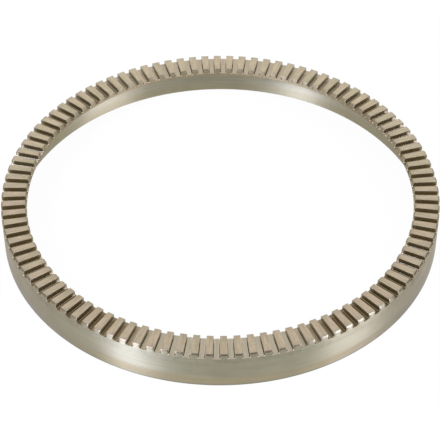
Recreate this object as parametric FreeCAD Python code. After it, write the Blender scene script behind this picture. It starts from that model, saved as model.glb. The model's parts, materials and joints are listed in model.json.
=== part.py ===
import FreeCAD, Part
import math
import os

# Sensor ring of an anti-lock brake: a steel ring of L-shaped section, made in one piece.
# A tall thin skirt is pressed over the turned shoulder of the wheel hub. A flat flange at
# the top turns inwards, and its face is cut by radial slots into a crown of square teeth,
# which pass under the wheel speed sensor as the hub turns.
# The origin is at the centre of the bottom rim, +Z runs up the axis, sizes are in millimetres.

# Skirt
seat_diameter = 168.5
skirt_wall = 3.25
overall_height = 16.9

# Toothed flange
flange_thickness = 3.2
lip_reach = 6.9

# Teeth and the slots between them
tooth_count = 100
slot_width = 2.4
slot_depth = 2.1
slot_corner_chamfer = 0.35

# Edges and corners
tooth_chamfer = 0.6
lip_chamfer = 0.3
rim_chamfer = 0.3
seat_corner_radius = 0.8

# How far a slot cutter runs past the metal at each end and above
cutter_overrun = 2.0

# Places that follow from the sizes above
seat_radius = seat_diameter / 2
outer_radius = seat_radius + skirt_wall
lip_radius = seat_radius - lip_reach
shoulder_height = overall_height - flange_thickness
slot_floor_height = overall_height - slot_depth
cutter_start = lip_radius - cutter_overrun
cutter_length = outer_radius + cutter_overrun - cutter_start
tooth_pitch_angle = 360 / tooth_count
axis_foot = FreeCAD.Vector(0, 0, 0)
axis_direction = FreeCAD.Vector(0, 0, 1)


def on_ring_section(radius, height):
    """A point of the ring's section, which lies in the XZ plane."""
    return FreeCAD.Vector(radius, 0, height)


def on_slot_section(offset, height):
    """A point of the slot's section, which lies across +X inside the lip."""
    return FreeCAD.Vector(cutter_start, offset, height)


def seat_corner_arc():
    """The rounded corner between the skirt's bore and the underside of the flange."""
    centre_radius = seat_radius - seat_corner_radius
    centre_height = shoulder_height - seat_corner_radius
    points = []
    for degrees in (0, 45, 90):
        angle = math.radians(degrees)
        radius = centre_radius + seat_corner_radius * math.cos(angle)
        height = centre_height + seat_corner_radius * math.sin(angle)
        points.append(on_ring_section(radius, height))
    return Part.Arc(*points).toShape()


def straight_edges(points):
    """Straight edges from each point to the next."""
    return [Part.makeLine(start, end) for start, end in zip(points, points[1:])]


def ring_section():
    """The L-shaped section: skirt, flange, chamfered edges and the rounded seat corner."""
    outline = [
        on_ring_section(seat_radius, shoulder_height - seat_corner_radius),
        on_ring_section(seat_radius, rim_chamfer),
        on_ring_section(seat_radius + rim_chamfer, 0),
        on_ring_section(outer_radius - rim_chamfer, 0),
        on_ring_section(outer_radius, rim_chamfer),
        on_ring_section(outer_radius, overall_height - tooth_chamfer),
        on_ring_section(outer_radius - tooth_chamfer, overall_height),
        on_ring_section(lip_radius + tooth_chamfer, overall_height),
        on_ring_section(lip_radius, overall_height - tooth_chamfer),
        on_ring_section(lip_radius, shoulder_height + lip_chamfer),
        on_ring_section(lip_radius + lip_chamfer, shoulder_height),
        on_ring_section(seat_radius - seat_corner_radius, shoulder_height),
    ]
    edges = straight_edges(outline) + [seat_corner_arc()]
    return Part.Face(Part.Wire(Part.sortEdges(edges)[0]))


def turned_ring():
    """The blank, turned all round before any slot is cut."""
    return ring_section().revolve(axis_foot, axis_direction, 360)


def slot_section():
    """A slot seen along its length: upright flanks, a flat floor and chamfered corners."""
    half_width = slot_width / 2
    half_floor = half_width - slot_corner_chamfer
    corner_height = slot_floor_height + slot_corner_chamfer
    top_height = overall_height + cutter_overrun
    outline = [
        on_slot_section(-half_floor, slot_floor_height),
        on_slot_section(half_floor, slot_floor_height),
        on_slot_section(half_width, corner_height),
        on_slot_section(half_width, top_height),
        on_slot_section(-half_width, top_height),
        on_slot_section(-half_width, corner_height),
    ]
    return Part.Face(Part.makePolygon(outline + outline[:1]))


def slot_cutters():
    """One straight cutter for each slot, half a pitch round from the tooth on +X."""
    cutter = slot_section().extrude(FreeCAD.Vector(cutter_length, 0, 0))
    turns = [(index + 0.5) * tooth_pitch_angle for index in range(tooth_count)]
    return [cutter.rotated(axis_foot, axis_direction, turn) for turn in turns]


def sensor_ring():
    """The finished ring: the turned blank with its crown of teeth milled into the flange."""
    return turned_ring().cut(slot_cutters())


os.makedirs("parts", exist_ok=True)
ring = sensor_ring()
ring.exportStep("parts/sensor_ring.step")
print("sensor_ring valid:", ring.isValid(), "solids:", len(ring.Solids))
print("volume in cubic millimetres:", round(ring.Volume, 1))
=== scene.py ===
import json
import math

import bpy
from mathutils import Matrix, Vector


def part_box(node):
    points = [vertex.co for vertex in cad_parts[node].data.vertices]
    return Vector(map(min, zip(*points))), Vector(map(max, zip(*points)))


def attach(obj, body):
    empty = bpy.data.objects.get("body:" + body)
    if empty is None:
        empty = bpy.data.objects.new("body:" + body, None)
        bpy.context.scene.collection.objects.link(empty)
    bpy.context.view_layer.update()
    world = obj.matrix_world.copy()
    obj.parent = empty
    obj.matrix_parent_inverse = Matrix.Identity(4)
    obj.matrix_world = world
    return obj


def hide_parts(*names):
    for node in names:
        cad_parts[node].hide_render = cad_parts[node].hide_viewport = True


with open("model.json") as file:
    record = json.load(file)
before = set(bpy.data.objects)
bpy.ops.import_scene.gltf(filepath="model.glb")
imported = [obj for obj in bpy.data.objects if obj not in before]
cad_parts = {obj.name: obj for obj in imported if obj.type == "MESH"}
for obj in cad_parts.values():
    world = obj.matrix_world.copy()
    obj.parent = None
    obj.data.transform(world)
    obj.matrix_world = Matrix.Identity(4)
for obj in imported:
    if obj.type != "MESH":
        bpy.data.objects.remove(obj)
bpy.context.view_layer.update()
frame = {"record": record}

ring_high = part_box("sensor_ring")[1]
mounts = {mount["name"]: mount for mount in frame["record"]["mounts"]}

MM = 0.001

# Sizes of the ring, in metres, from its box and mounts or else as in the CAD part
OUTER_RADIUS = ring_high.x
HEIGHT = ring_high.z
SEAT_RADIUS = mounts["hub_seat"]["dims"]["r_mm"] * MM
LIP_RADIUS = mounts["lip_bore"]["dims"]["r_mm"] * MM
SHOULDER_HEIGHT = mounts["seat_stop"]["pos_m"][2]
TOOTH_COUNT = 100
SLOT_WIDTH = 2.4 * MM
SLOT_DEPTH = 2.1 * MM
TOOTH_CHAMFER = 0.6 * MM
LIP_CHAMFER = 0.3 * MM
RIM_CHAMFER = 0.3 * MM
SEAT_CORNER = 0.8 * MM

# Roundings that only the picture has: slot corners, upright corners of the teeth, sharp edges
SLOT_CORNER = 0.4 * MM
CORNER_ROUND = 0.4 * MM
EDGE_BREAK = 0.06 * MM
SHARP_EDGE = math.radians(38)

# Angles in degrees at which a rounded corner has its columns or rows
ROUNDING_STEPS = (0, 30, 60, 90)
SEAT_CORNER_STEPS = (0, 22.5, 45, 67.5, 90)

# Places that follow from the sizes
SLOT_FLOOR = HEIGHT - SLOT_DEPTH
HALF_SLOT = SLOT_WIDTH / 2
PITCH = 2 * math.pi / TOOTH_COUNT


# The ring's mesh

# Material numbers of the finishes, in the order of make_metals
SKIRT, SEAT, LIP, TOOTH_FACE, SLOT_BED, FLANK, CHAMFER, BROKEN_EDGE = range(8)


def pitch_columns():
    """The columns of one pitch: a share of the tooth's half width, or an offset across the slot."""
    steps = [math.sin(math.radians(angle)) for angle in ROUNDING_STEPS]
    side = [HALF_SLOT - SLOT_CORNER * (1 - step) for step in steps]
    offsets = [-offset for offset in reversed(side)] + [0.0] + side
    slot = [("slot", offset) for offset in offsets]
    return [("tooth", 0.0), ("tooth", 0.5)] + slot + [("tooth", -0.5)]


def column_angle(column, radius, widening):
    """Angle of a column from the tooth's middle, at a radius, for slots with parallel flanks."""
    kind, value = column
    if kind == "slot":
        return PITCH / 2 + math.asin(value * (1 + widening / HALF_SLOT) / radius)
    half_tooth = PITCH / 2 - math.asin((HALF_SLOT + widening) / radius)
    return value * half_tooth if value >= 0 else PITCH + value * half_tooth


class RingMesh:
    """Collects the vertices and faces of the ring, row by row round the axis."""

    def __init__(self):
        self.columns = pitch_columns()
        self.vertices = []
        self.faces = []
        self.finishes = []

    def add_row(self, radius, height_of, widening=0.0):
        """A row of one vertex for each column of each pitch, or None where height_of gives None."""
        row = []
        for tooth in range(TOOTH_COUNT):
            for column in self.columns:
                height = height_of(column)
                if height is None:
                    row.append(None)
                    continue
                angle = tooth * PITCH + column_angle(column, radius, widening)
                row.append(len(self.vertices))
                self.vertices.append((radius * math.cos(angle), radius * math.sin(angle), height))
        return row

    def add_face(self, corners, finish):
        self.faces.append(corners)
        self.finishes.append(finish)

    def join(self, above, below, finish):
        """Faces between two rows, seen from outside with the first row above."""
        count = len(above)
        for index in range(count):
            following = (index + 1) % count
            corners = [above[index], below[index], below[following], above[following]]
            unique = list(dict.fromkeys(corners))
            if None not in unique and len(unique) > 2:
                self.add_face(unique, finish)


def from_wall(radius):
    """Distance from the nearer of the two walls between which the teeth lie."""
    return min(OUTER_RADIUS - radius, radius - LIP_RADIUS)


def slot_widening(radius):
    """How far each flank has drawn back from its slot, where a tooth's upright corner is rounded."""
    from_centre = CORNER_ROUND - from_wall(radius)
    if from_centre <= 0:
        return 0.0
    return CORNER_ROUND - math.sqrt(max(CORNER_ROUND**2 - from_centre**2, 0.0))


def is_tooth_or_flank(column):
    return column[0] == "tooth" or abs(column[1]) >= HALF_SLOT


def tooth_top(radius):
    """Gives the height of a tooth's top or chamfer at a radius, and nothing inside a slot."""
    height = HEIGHT - max(TOOTH_CHAMFER - from_wall(radius), 0.0)
    return lambda column: height if is_tooth_or_flank(column) else None


def slot_surface(column):
    """Height of a slot's floor and rounded corners, and nothing under a tooth."""
    kind, offset = column
    if kind == "tooth":
        return None
    into_corner = abs(offset) - (HALF_SLOT - SLOT_CORNER)
    if into_corner <= 0:
        return SLOT_FLOOR
    return SLOT_FLOOR + SLOT_CORNER - math.sqrt(max(SLOT_CORNER**2 - into_corner**2, 0.0))


def slot_mouth(column):
    """The slot's outline on a wall, carried on across the tooth's end where the corners stop."""
    return SLOT_FLOOR + SLOT_CORNER if column[0] == "tooth" else slot_surface(column)


def level(height):
    return lambda column: height


def join_slots(ring, outer, inner, depth):
    """Flanks, rounded corners and floor of every slot, between two radii."""
    flank_finish = BROKEN_EDGE if depth < CORNER_ROUND else FLANK
    corner_finish = SLOT_BED if depth < TOOTH_CHAMFER else FLANK
    outer_top, outer_bed = outer
    inner_top, inner_bed = inner
    count = len(outer_top)
    for index in range(count):
        following = (index + 1) % count
        kind, offset = ring.columns[index % len(ring.columns)]
        next_kind, next_offset = ring.columns[following % len(ring.columns)]
        if kind == "slot" and next_kind == "slot":
            bed = [inner_bed[index], outer_bed[index], outer_bed[following], inner_bed[following]]
            is_bed = abs(offset + next_offset) / 2 < HALF_SLOT - SLOT_CORNER / 2
            ring.add_face(bed, SLOT_BED if is_bed else corner_finish)
        if kind == "slot" and abs(offset) >= HALF_SLOT:
            flank = [inner_top[index], outer_top[index], outer_bed[index], inner_bed[index]]
            ring.add_face(flank if offset < 0 else flank[::-1], flank_finish)


def crown_radii():
    """The radii of the crown's rows: close together at both ends of the teeth."""
    turns = [math.sin(math.radians(angle)) for angle in reversed(ROUNDING_STEPS)]
    depths = [CORNER_ROUND * (1 - turn) for turn in turns] + [TOOTH_CHAMFER]
    third = (OUTER_RADIUS - LIP_RADIUS) / 3
    outer = [OUTER_RADIUS - depth for depth in depths + [third]]
    inner = [LIP_RADIUS + depth for depth in depths + [third]]
    return outer + inner[::-1]


def build_crown(ring):
    """Tops, chamfers and flanks of the teeth, and the slots. Gives back the rows at both walls."""
    radii = crown_radii()
    rows = []
    for radius in radii:
        widening = slot_widening(radius)
        bed_height = slot_mouth if radius in (radii[0], radii[-1]) else slot_surface
        top = ring.add_row(radius, tooth_top(radius), widening)
        bed = ring.add_row(radius, bed_height, widening)
        rows.append((top, bed))
    for index, (outer, inner) in enumerate(zip(rows, rows[1:])):
        middle = (radii[index] + radii[index + 1]) / 2
        depth = from_wall(middle)
        end_finish = CHAMFER if middle > SEAT_RADIUS else LIP
        ring.join(inner[0], outer[0], end_finish if depth < TOOTH_CHAMFER else TOOTH_FACE)
        join_slots(ring, outer, inner, depth)
    return rows[0], rows[-1]


def seat_corner_points():
    """The rounded corner between the seat's bore and the flange's underside."""
    points = []
    for degrees in SEAT_CORNER_STEPS:
        angle = math.radians(degrees)
        radius = SEAT_RADIUS - SEAT_CORNER * (1 - math.cos(angle))
        points.append((radius, SHOULDER_HEIGHT - SEAT_CORNER * (1 - math.sin(angle))))
    return points


def build_walls(ring, outer_end, inner_end):
    """The skirt's outside and rim, the seat, the flange's underside and the lip's bore."""
    skirt = [
        (OUTER_RADIUS, SLOT_FLOOR - SLOT_CORNER),
        (OUTER_RADIUS, HEIGHT / 2),
        (OUTER_RADIUS, HEIGHT / 4),
        (OUTER_RADIUS, RIM_CHAMFER),
        (OUTER_RADIUS - RIM_CHAMFER, 0.0),
    ]
    seat = [
        (SEAT_RADIUS + RIM_CHAMFER, 0.0),
        (SEAT_RADIUS, RIM_CHAMFER),
        (SEAT_RADIUS, HEIGHT / 4),
        (SEAT_RADIUS, HEIGHT / 2),
        *seat_corner_points(),
        (LIP_RADIUS + LIP_CHAMFER, SHOULDER_HEIGHT),
    ]
    bands = [(outer_end[0], SKIRT), (outer_end[1], SKIRT)]
    bands += [(ring.add_row(radius, level(height)), SKIRT) for radius, height in skirt]
    bands += [(ring.add_row(radius, level(height)), SEAT) for radius, height in seat]
    bands += [(ring.add_row(LIP_RADIUS, level(SHOULDER_HEIGHT + LIP_CHAMFER)), LIP)]
    bands += [(inner_end[1], LIP), (inner_end[0], LIP)]
    for (above, _), (below, finish) in zip(bands, bands[1:]):
        ring.join(above, below, finish)


def break_edges(piece):
    """A small rounding on every sharp edge, in the finish of rubbed metal."""
    bevel = piece.modifiers.new("broken edges", "BEVEL")
    bevel.width = EDGE_BREAK
    bevel.segments = 2
    bevel.limit_method = "ANGLE"
    bevel.angle_limit = SHARP_EDGE
    bevel.material = BROKEN_EDGE
    weighted = piece.modifiers.new("flat faces", "WEIGHTED_NORMAL")
    weighted.weight = 100


def build_ring(metals):
    """The ring as one closed mesh, with each surface in its own finish."""
    ring = RingMesh()
    outer_end, inner_end = build_crown(ring)
    build_walls(ring, outer_end, inner_end)
    mesh = bpy.data.meshes.new("toothed_ring")
    mesh.from_pydata(ring.vertices, [], ring.faces)
    mesh.polygons.foreach_set("material_index", ring.finishes)
    mesh.polygons.foreach_set("use_smooth", [True] * len(ring.faces))
    for metal in metals:
        mesh.materials.append(metal)
    piece = bpy.data.objects.new("toothed_ring", mesh)
    bpy.context.scene.collection.objects.link(piece)
    break_edges(piece)
    return piece


# Wiring of shader nodes

class Wiring:
    """Adds nodes to a tree and links them, so that a finish reads like a formula."""

    def __init__(self, tree):
        self.tree = tree

    def node(self, kind, **settings):
        node = self.tree.nodes.new("ShaderNode" + kind)
        for name, value in settings.items():
            setattr(node, name, value)
        return node

    def feed(self, socket, value):
        """Links a socket's value, or sets a plain one."""
        if isinstance(value, bpy.types.NodeSocket):
            self.tree.links.new(value, socket)
        else:
            socket.default_value = value

    def math(self, operation, *values, clamp=False):
        node = self.node("Math", operation=operation, use_clamp=clamp)
        for socket, value in zip(node.inputs, values):
            self.feed(socket, value)
        return node.outputs[0]

    def product(self, first, *others):
        for value in others:
            first = self.math("MULTIPLY", first, value)
        return first

    def vector(self, x, y, z):
        node = self.node("CombineXYZ")
        for socket, value in zip(node.inputs, (x, y, z)):
            self.feed(socket, value)
        return node.outputs[0]

    def noise(self, vector, scale=1.0, detail=2.0, roughness=0.5):
        """Soft noise from 0 to 1."""
        node = self.node("TexNoise")
        self.feed(node.inputs["Vector"], vector)
        self.feed(node.inputs["Scale"], scale)
        self.feed(node.inputs["Detail"], detail)
        self.feed(node.inputs["Roughness"], roughness)
        return node.outputs["Fac"]

    def spread(self, value, low, high, new_low=0.0, new_high=1.0, smooth=False):
        """Maps low..high to new_low..new_high and stops at both ends."""
        node = self.node("MapRange", interpolation_type="SMOOTHSTEP" if smooth else "LINEAR")
        for socket, number in zip(node.inputs, (value, low, high, new_low, new_high)):
            self.feed(socket, number)
        return node.outputs[0]

    def vary(self, noise, low, high):
        """A number that follows soft noise, which lies mostly from 0.3 to 0.7."""
        return self.spread(noise, 0.3, 0.7, low, high)

    def between(self, share, first, second):
        """A number between two numbers."""
        return self.spread(share, 0.0, 1.0, first, second)

    def window(self, value, rise, fall):
        """1 between a rising and a falling edge, each given as low and high, and 0 outside them."""
        return self.product(self.spread(value, *rise), self.spread(value, *fall, 1.0, 0.0))

    def sector(self, turn, rise, fall):
        """A window round the ring, with its edges in degrees from +X towards the rear."""
        return self.window(turn, map(math.radians, rise), map(math.radians, fall))

    def blend(self, share, first, second, kind="MIX"):
        """A colour between two colours."""
        node = self.node("Mix", data_type="RGBA", blend_type=kind)
        self.feed(node.inputs["Factor"], share)
        self.feed(node.inputs["A"], first)
        self.feed(node.inputs["B"], second)
        return node.outputs["Result"]

    def shade(self, color, brightness):
        """A colour made lighter or darker by a number."""
        return self.blend(1.0, color, self.vector(brightness, brightness, brightness), "MULTIPLY")

    def group(self, group, **values):
        """A node group with its own values. Gives back its outputs by name."""
        node = self.node("Group", node_tree=group)
        for name, value in values.items():
            self.feed(node.inputs[name], value)
        return node.outputs


def rgb(red, green, blue):
    return (red, green, blue, 1.0)


# Groups of nodes that several finishes share

def new_group(name, inputs, outputs):
    """An empty group with numbers as its inputs and outputs, and the wiring to fill it."""
    tree = bpy.data.node_groups.new(name, "ShaderNodeTree")
    for label, value in inputs.items():
        socket = tree.interface.new_socket(label, in_out="INPUT", socket_type="NodeSocketFloat")
        socket.default_value = value
    for label in outputs:
        tree.interface.new_socket(label, in_out="OUTPUT", socket_type="NodeSocketFloat")
    wiring = Wiring(tree)
    given = tree.nodes.new("NodeGroupInput").outputs
    wanted = tree.nodes.new("NodeGroupOutput").inputs
    return tree, wiring, given, wanted


def make_ring_position():
    """Where a point lies on the ring. Rightward and Rearward run from -1 to 1 round it."""
    outputs = ("Radius", "Height", "Turn", "Rightward", "Rearward")
    tree, wiring, _, wanted = new_group("ring position", {}, outputs)
    split = wiring.node("SeparateXYZ")
    wiring.feed(split.inputs[0], wiring.node("TexCoord").outputs["Object"])
    x, y, z = split.outputs
    squares = wiring.math("ADD", wiring.product(x, x), wiring.product(y, y))
    turn = wiring.math("ARCTAN2", y, x)
    wiring.feed(wanted["Radius"], wiring.math("SQRT", squares))
    wiring.feed(wanted["Height"], z)
    wiring.feed(wanted["Turn"], turn)
    wiring.feed(wanted["Rightward"], wiring.math("COSINE", turn))
    wiring.feed(wanted["Rearward"], wiring.math("SINE", turn))
    return tree


def make_turning_lines(ring_position):
    """Fine grooves that a lathe tool leaves round the axis, on walls, chamfers and flat faces alike."""
    inputs = {"Spacing": 0.2 * MM, "Drift": 3.0}
    tree, wiring, given, wanted = new_group("turning lines", inputs, ("Groove",))
    place = wiring.group(ring_position)
    across = wiring.math("ADD", place["Radius"], place["Height"])
    lines = wiring.math("DIVIDE", across, given["Spacing"])
    along_x = wiring.product(place["Rightward"], given["Drift"])
    along_y = wiring.product(place["Rearward"], given["Drift"])
    groove = wiring.noise(wiring.vector(along_x, along_y, lines), detail=3.0, roughness=0.6)
    wiring.feed(wanted["Groove"], groove)
    return tree


def make_cutter_lines(ring_position):
    """Fine straight marks along the teeth or slots, different on each of them."""
    inputs = {"Spacing": 0.15 * MM, "First": 0.0}
    tree, wiring, given, wanted = new_group("cutter lines", inputs, ("Groove", "Tone"))
    mark_length = 6 * MM
    seed_step = 7.31
    place = wiring.group(ring_position)
    pitches = wiring.math("ADD", wiring.math("DIVIDE", place["Turn"], PITCH), given["First"])
    number = wiring.math("ROUND", pitches)
    turn_in_pitch = wiring.product(wiring.math("SUBTRACT", pitches, number), PITCH)
    offset = wiring.product(wiring.math("SINE", turn_in_pitch), place["Radius"])
    lines = wiring.math("DIVIDE", offset, given["Spacing"])
    along = wiring.math("DIVIDE", place["Radius"], mark_length)
    seed = wiring.product(number, seed_step)
    groove = wiring.noise(wiring.vector(lines, along, seed), detail=3.0, roughness=0.6)
    wiring.feed(wanted["Groove"], groove)
    tone = wiring.node("TexWhiteNoise", noise_dimensions="1D")
    wiring.feed(tone.inputs["W"], seed)
    wiring.feed(wanted["Tone"], tone.outputs["Value"])
    return tree


def make_tarnish():
    """Cloudy patches of a thin oxide film, in two sizes."""
    inputs = {"Patch": 9.0 * MM, "Speck": 1.1 * MM}
    tree, wiring, given, wanted = new_group("tarnish", inputs, ("Cloud", "Specks"))
    place = wiring.node("TexCoord").outputs["Object"]
    patch_scale = wiring.math("DIVIDE", 1.0, given["Patch"])
    speck_scale = wiring.math("DIVIDE", 1.0, given["Speck"])
    wiring.feed(wanted["Cloud"], wiring.noise(place, patch_scale, detail=2.0))
    wiring.feed(wanted["Specks"], wiring.noise(place, speck_scale, detail=3.0))
    return tree


# The metal's finishes

def start_metal(name):
    """A bare metal. Gives back the material, its wiring and its shader."""
    material = bpy.data.materials.new(name)
    material.use_nodes = True
    shader = material.node_tree.nodes["Principled BSDF"]
    shader.inputs["Metallic"].default_value = 1.0
    return material, Wiring(material.node_tree), shader


def set_surface(wiring, shader, color, roughness):
    wiring.feed(shader.inputs["Base Color"], color)
    wiring.feed(shader.inputs["Roughness"], roughness)


def add_bump(wiring, shader, height, strength, distance):
    bump = wiring.node("Bump")
    wiring.feed(bump.inputs["Strength"], strength)
    wiring.feed(bump.inputs["Distance"], distance)
    wiring.feed(bump.inputs["Height"], height)
    wiring.feed(shader.inputs["Normal"], bump.outputs["Normal"])


def start_turned(name, groups, anisotropic=1.0):
    """A wall with turning lines, whose lamp reflections stretch across the lines."""
    quarter_turn = 0.25
    material, wiring, shader = start_metal(name)
    shader.inputs["Anisotropic"].default_value = anisotropic
    shader.inputs["Anisotropic Rotation"].default_value = quarter_turn
    tangent = wiring.node("Tangent", direction_type="RADIAL", axis="Z")
    wiring.feed(shader.inputs["Tangent"], tangent.outputs[0])
    lines = wiring.group(groups["turning"], Spacing=0.9 * MM)
    add_bump(wiring, shader, lines["Groove"], strength=0.2, distance=0.05 * MM)
    line_tone = wiring.vary(lines["Groove"], 0.92, 1.08)
    patch_tone = wiring.vary(wiring.group(groups["tarnish"])["Cloud"], 0.95, 1.05)
    return material, wiring, shader, wiring.product(line_tone, patch_tone)


def foot_band(wiring, groups, height):
    """1 in the smoother band that the hub has left round the foot of the skirt, with a wavy edge."""
    band_height = 4.8 * MM
    wave = 0.8 * MM
    blur = 1.0 * MM
    cloud = wiring.group(groups["tarnish"])["Cloud"]
    edge = wiring.math("MULTIPLY_ADD", cloud, wave, band_height - wave / 2)
    return wiring.spread(wiring.math("SUBTRACT", height, edge), -blur, blur, 1.0, 0.0)


def stain_under_teeth(wiring, groups, height):
    """The share of light that dark blotches leave on the wall below the slots."""
    blotch = wiring.spread(wiring.group(groups["tarnish"], Speck=2.5 * MM)["Specks"], 0.45, 0.65)
    stained = wiring.window(height, (10.5 * MM, 13.5 * MM), (SLOT_FLOOR - 0.5 * MM, SLOT_FLOOR))
    return wiring.between(wiring.product(blotch, stained), 1.0, 0.86)


def make_turned_skirt(groups):
    """Outside of the skirt: olive-grey, paler in front and darker at the sides as a painted reflection,
    with a tan foot that is darker at the sides as painted shade, a painted contact shadow along the
    bottom edge, and tooth ends lightened as a painted highlight.
    """
    material, wiring, shader, tone = start_turned("turned skirt", groups)
    place = wiring.group(groups["position"])
    height = place["Height"]
    # Paler in front and darker at the sides: a painted reflection of the surroundings, not a change in
    # the metal.
    front = wiring.spread(place["Rearward"], -0.9, -0.6, 1.0, 0.0)
    wall_color = wiring.blend(front, rgb(0.338, 0.301, 0.228), rgb(0.375, 0.354, 0.259))
    # The foot's tan is its own; its darker colour at the sides is painted shade, the reflection of the
    # shadowed floor beside the ring.
    foot_color = wiring.blend(front, rgb(0.285, 0.258, 0.2), rgb(0.38, 0.33, 0.219))
    foot = foot_band(wiring, groups, height)
    # A thin painted contact shadow along the bottom edge.
    painted_contact_shadow = wiring.spread(height, 0.7 * MM, 1.1 * MM, 1.0, 0.0)
    color = wiring.blend(foot, wall_color, foot_color)
    color = wiring.blend(painted_contact_shadow, color, rgb(0.28, 0.262, 0.21))
    # Tooth ends and the wall just under the slots: rougher, and lightened as a painted highlight for
    # the stronger lamp reflections there.
    tooth_end = wiring.spread(height, SLOT_FLOOR - 0.4 * MM, SLOT_FLOOR + 0.4 * MM)
    stain = stain_under_teeth(wiring, groups, height)
    tone = wiring.product(tone, stain, wiring.between(tooth_end, 1.0, 1.13))
    rough = wiring.math("MULTIPLY_ADD", tooth_end, 0.1, wiring.between(foot, 0.45, 0.34))
    set_surface(wiring, shader, wiring.shade(color, tone), rough)
    return material


def make_turned_seat(groups):
    """Bore of the skirt, the rim and the flange's underside: olive, greyer and duller half way up,
    darker and yellower above and below as painted shade under the flange and towards the foot.
    """
    material, wiring, shader, tone = start_turned("turned seat", groups)
    height = wiring.group(groups["position"])["Height"]
    # Outside the middle band the colour is darker and yellower: painted shade under the flange and
    # towards the foot.
    middle = wiring.window(height, (3.5 * MM, 5.5 * MM), (7.5 * MM, 9.0 * MM))
    color = wiring.blend(middle, rgb(0.38, 0.345, 0.238), rgb(0.448, 0.417, 0.311))
    set_surface(wiring, shader, wiring.shade(color, tone), wiring.between(middle, 0.46, 0.54))
    return material


def make_turned_lip(groups):
    """Bore of the flange and the inner ends of the teeth: tan, with a paler, duller chamfer."""
    material, wiring, shader, tone = start_turned("turned lip", groups, anisotropic=0.9)
    place = wiring.group(groups["position"])
    # Paler at the rear than at the sides: painted light, not a change in the metal.
    rear = wiring.spread(place["Rearward"], 0.7, 0.95)
    chamfer_foot = HEIGHT - TOOTH_CHAMFER
    on_chamfer = wiring.spread(place["Height"], chamfer_foot, HEIGHT - TOOTH_CHAMFER / 2)
    color = wiring.blend(rear, rgb(0.31, 0.256, 0.16), rgb(0.345, 0.285, 0.18))
    color = wiring.blend(on_chamfer, color, rgb(0.415, 0.363, 0.245))
    set_surface(wiring, shader, wiring.shade(color, tone), wiring.between(on_chamfer, 0.55, 0.64))
    return material


def make_faced_tooth(groups):
    """Tops of the teeth: pale beige, faintly lined along each tooth, no two teeth quite alike."""
    material, wiring, shader = start_metal("faced tooth")
    lines = wiring.group(groups["cutter"], Spacing=0.8 * MM)
    film = wiring.group(groups["tarnish"], Patch=5 * MM, Speck=0.6 * MM)
    place = wiring.group(groups["position"])
    radius = place["Radius"]
    outer_end = wiring.spread(radius, OUTER_RADIUS - 2.4 * MM, OUTER_RADIUS - 0.9 * MM)
    # Darker over the front half of the ring: painted shade.
    front = wiring.spread(place["Rearward"], -0.1, 0.4, 1.0, 0.0)
    color = wiring.blend(lines["Tone"], rgb(0.51, 0.443, 0.308), rgb(0.555, 0.463, 0.33))
    color = wiring.blend(outer_end, color, rgb(0.5, 0.438, 0.318))
    color = wiring.blend(front, color, rgb(0.95, 0.93, 0.945), "MULTIPLY")
    line_tone = wiring.vary(lines["Groove"], 0.86, 1.14)
    speck_tone = wiring.vary(film["Specks"], 0.92, 1.08)
    inner_end = wiring.spread(radius, LIP_RADIUS + 1.0 * MM, LIP_RADIUS + 4.0 * MM, 0.95, 1.02)
    tone = wiring.product(line_tone, speck_tone, inner_end)
    set_surface(wiring, shader, wiring.shade(color, tone), wiring.vary(film["Cloud"], 0.42, 0.5))
    add_bump(wiring, shader, lines["Groove"], strength=0.15, distance=0.04 * MM)
    return material


def make_slot_floor(groups):
    """Floors of the slots: smooth, streaked along the cut, paler at the very front as painted light,
    and darker and browner at both sides of the front as painted shade.
    """
    material, wiring, shader = start_metal("slot floor")
    lines = wiring.group(groups["cutter"], Spacing=0.3 * MM, First=0.5)
    place = wiring.group(groups["position"])
    # Paler at the very front: painted light.
    front = wiring.spread(place["Rearward"], -0.98, -0.9, 1.0, 0.0)
    # Darker, browner sectors at both sides of the front: painted shade, which also tints the lamp
    # glints reflected off these floors.
    left = wiring.sector(place["Turn"], (-145, -132), (-120, -109))
    right = wiring.sector(place["Turn"], (-71, -60), (-30, -15))
    painted_shade = wiring.math("ADD", left, right)
    color = wiring.blend(lines["Tone"], rgb(0.44, 0.38, 0.28), rgb(0.49, 0.41, 0.30))
    color = wiring.blend(front, color, rgb(0.53, 0.468, 0.355))
    color = wiring.blend(painted_shade, color, rgb(0.6, 0.54, 0.42), "MULTIPLY")
    tone = wiring.vary(lines["Groove"], 0.85, 1.15)
    set_surface(wiring, shader, wiring.shade(color, tone), 0.15)
    add_bump(wiring, shader, lines["Groove"], strength=0.2, distance=0.05 * MM)
    return material


def make_slot_flank(groups):
    """Flanks of the slots: dark brown, partly their own colour and partly painted shade, darkest at the
    foot as painted shade, under a thin gloss of dried cutting oil.
    """
    material, wiring, shader = start_metal("slot flank")
    shader.inputs["Coat Weight"].default_value = 1.0
    shader.inputs["Coat Roughness"].default_value = 0.16
    shader.inputs["Coat IOR"].default_value = 1.9
    height = wiring.group(groups["position"])["Height"]
    # Darker towards the slot floor: painted shade deep in the slot.
    rise = wiring.spread(height, SLOT_FLOOR, HEIGHT)
    color = wiring.blend(rise, rgb(0.15, 0.108, 0.036), rgb(0.235, 0.182, 0.085))
    tone = wiring.vary(wiring.group(groups["tarnish"], Speck=0.5 * MM)["Specks"], 0.85, 1.15)
    set_surface(wiring, shader, wiring.shade(color, tone), 0.55)
    return material


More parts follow.
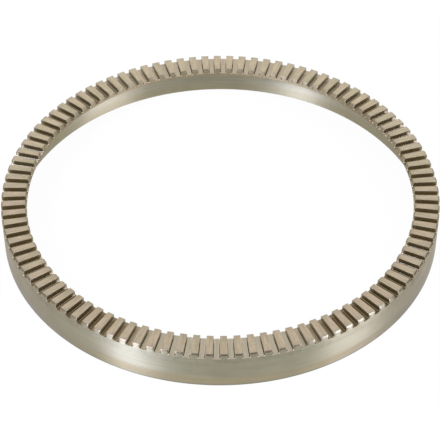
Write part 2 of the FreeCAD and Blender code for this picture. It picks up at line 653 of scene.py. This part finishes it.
def make_chamfer(groups):
    """Chamfers at the outer ends of the teeth: dark and smooth like a mirror, paler and greyer at the
    right front as a painted highlight, paler at the far sides as painted light, and darker just beyond
    the right front as painted shade.
    """
    material, wiring, shader = start_metal("turned chamfer")
    lines = wiring.group(groups["turning"], Spacing=0.15 * MM)
    place = wiring.group(groups["position"])
    # Paler, greyer sector at the right front: a painted highlight colour that whitens the lamp's
    # reflection there.
    right = wiring.sector(place["Turn"], (-72, -66), (-46, -38))
    # Paler at the far left and right: painted light.
    sideways = wiring.spread(wiring.math("ABSOLUTE", place["Rightward"]), 0.93, 0.98)
    # Darker sector just beyond the right front: painted shade.
    painted_shade = wiring.sector(place["Turn"], (-46, -40), (-28, -21))
    color = wiring.blend(right, rgb(0.165, 0.132, 0.09), rgb(0.178, 0.169, 0.13))
    color = wiring.blend(sideways, color, rgb(0.22, 0.176, 0.12))
    color = wiring.blend(painted_shade, color, rgb(0.125, 0.1, 0.068))
    tone = wiring.vary(lines["Groove"], 0.85, 1.15)
    set_surface(wiring, shader, wiring.shade(color, tone), 0.32)
    add_bump(wiring, shader, lines["Groove"], strength=0.2, distance=0.03 * MM)
    return material


def make_broken_edge(groups):
    """The narrow rounded edges and corners, rubbed a little brighter."""
    material, wiring, shader = start_metal("broken edge")
    tone = wiring.vary(wiring.group(groups["tarnish"], Speck=0.3 * MM)["Specks"], 0.8, 1.15)
    set_surface(wiring, shader, wiring.shade(rgb(0.33, 0.30, 0.235), tone), 0.45)
    return material


def make_metals():
    """All finishes, in the order of the mesh's material numbers."""
    position = make_ring_position()
    groups = {
        "position": position,
        "turning": make_turning_lines(position),
        "cutter": make_cutter_lines(position),
        "tarnish": make_tarnish(),
    }
    makers = (
        make_turned_skirt,
        make_turned_seat,
        make_turned_lip,
        make_faced_tooth,
        make_slot_floor,
        make_slot_flank,
        make_chamfer,
        make_broken_edge,
    )
    return [make(groups) for make in makers]


ring_piece = build_ring(make_metals())
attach(ring_piece, "root")
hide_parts("sensor_ring")


# Camera, from the photograph's viewing angle

VIEW_AZIMUTH = math.radians(270)
VIEW_ELEVATION = math.radians(43.977)
VIEW_DISTANCE = 7.96 * OUTER_RADIUS
TOOTH_PHASE = math.radians(0.68)
LENS = 140.0
SENSOR_WIDTH = 36.0
ROLL = math.radians(-0.285)
SHIFT_X = -0.001
SHIFT_Y = 0.0041


def towards(azimuth, elevation, distance=1.0):
    """A point at an angle from the photograph's right-hand side, a rise and a distance."""
    turn = azimuth - TOOTH_PHASE
    flat = distance * math.cos(elevation)
    return Vector((flat * math.cos(turn), flat * math.sin(turn), distance * math.sin(elevation)))


def place_camera():
    camera = bpy.data.cameras.new("camera")
    camera.lens = LENS
    camera.sensor_width = SENSOR_WIDTH
    camera.shift_x = SHIFT_X
    camera.shift_y = SHIFT_Y
    holder = bpy.data.objects.new("camera", camera)
    holder.location = towards(VIEW_AZIMUTH, VIEW_ELEVATION, VIEW_DISTANCE)
    look = (-holder.location).to_track_quat("-Z", "Y")
    holder.rotation_euler = (look.to_matrix() @ Matrix.Rotation(ROLL, 3, "Z")).to_euler()
    bpy.context.scene.collection.objects.link(holder)
    bpy.context.scene.camera = holder


# Studio

LAMP_DISTANCE = 2.0

# An area lamp of this many watts for each square metre has a radiance of 1
WATTS_PER_RADIANCE = 4


def place_lamp(name, azimuth, elevation, width, height, radiance, color):
    """A soft box of cool light that faces the ring, with its angles in degrees."""
    lamp = bpy.data.lights.new(name, "AREA")
    lamp.shape = "RECTANGLE"
    lamp.size = width
    lamp.size_y = height
    lamp.color = color
    lamp.energy = WATTS_PER_RADIANCE * width * height * radiance
    holder = bpy.data.objects.new(name, lamp)
    holder.location = towards(math.radians(azimuth), math.radians(elevation), LAMP_DISTANCE)
    holder.rotation_euler = (-holder.location).to_track_quat("-Z", "Y").to_euler()
    holder.visible_camera = False
    bpy.context.scene.collection.objects.link(holder)


def make_tent():
    """White walls all round, dimmer overhead, with a greyer opening where the camera stands."""
    light_in_opening = 0.63
    light_low = 1.27
    light_overhead = 0.68
    world = bpy.data.worlds.new("tent")
    world.use_nodes = True
    bpy.context.scene.world = world
    wiring = Wiring(world.node_tree)
    direction = wiring.node("TexCoord").outputs["Generated"]
    facing = wiring.node("VectorMath", operation="DOT_PRODUCT")
    wiring.feed(facing.inputs[0], direction)
    wiring.feed(facing.inputs[1], towards(VIEW_AZIMUTH, VIEW_ELEVATION))
    opening_edge = math.cos(math.radians(12))
    wall_edge = math.cos(math.radians(28))
    to_camera = facing.outputs["Value"]
    opening = wiring.spread(to_camera, wall_edge, opening_edge, 1.0, light_in_opening, smooth=True)
    split = wiring.node("SeparateXYZ")
    wiring.feed(split.inputs[0], direction)
    low = math.sin(math.radians(25))
    high = math.sin(math.radians(60))
    fall = wiring.spread(split.outputs["Z"], low, high, light_low, light_overhead)
    background = world.node_tree.nodes["Background"]
    wiring.feed(background.inputs["Strength"], wiring.product(opening, fall))
    wiring.feed(background.inputs["Color"], rgb(1.0, 1.0, 1.0))


def make_floor_paint():
    """Nearly all plain white to the camera and in the metal, with a trace of the ring's shadow."""
    white_share = 0.95
    paint = bpy.data.materials.new("floor white")
    paint.use_nodes = True
    wiring = Wiring(paint.node_tree)
    lit = paint.node_tree.nodes["Principled BSDF"]
    lit.inputs["Base Color"].default_value = rgb(0.9, 0.9, 0.9)
    lit.inputs["Roughness"].default_value = 0.9
    lit.inputs["Specular IOR Level"].default_value = 0.0
    path = wiring.node("LightPath").outputs
    seen = wiring.math("ADD", path["Is Camera Ray"], path["Is Glossy Ray"], clamp=True)
    seen = wiring.math("ADD", seen, path["Is Transmission Ray"], clamp=True)
    mix = wiring.node("MixShader")
    wiring.feed(mix.inputs["Fac"], wiring.product(seen, white_share))
    wiring.feed(mix.inputs[1], lit.outputs[0])
    wiring.feed(mix.inputs[2], wiring.node("Emission").outputs[0])
    wiring.feed(paint.node_tree.nodes["Material Output"].inputs["Surface"], mix.outputs[0])
    return paint


def make_floor():
    """A wide white floor, a hair below the ring."""
    reach = 20.0
    gap = 0.1 * MM
    mesh = bpy.data.meshes.new("floor")
    corners = [(-reach, -reach, 0), (reach, -reach, 0), (reach, reach, 0), (-reach, reach, 0)]
    mesh.from_pydata(corners, [], [(0, 1, 2, 3)])
    mesh.materials.append(make_floor_paint())
    floor = bpy.data.objects.new("floor", mesh)
    floor.location.z = -gap
    bpy.context.scene.collection.objects.link(floor)


place_camera()
place_lamp(
    "left soft box",
    azimuth=226.5,
    elevation=36,
    width=0.5,
    height=1.5,
    radiance=12.4,
    color=(0.67, 0.71, 0.96),
)
place_lamp(
    "right soft box",
    azimuth=333,
    elevation=31,
    width=0.85,
    height=0.75,
    radiance=9.6,
    color=(0.79, 0.78, 0.96),
)
make_tent()
make_floor()
bpy.context.scene.view_settings.view_transform = "Standard"
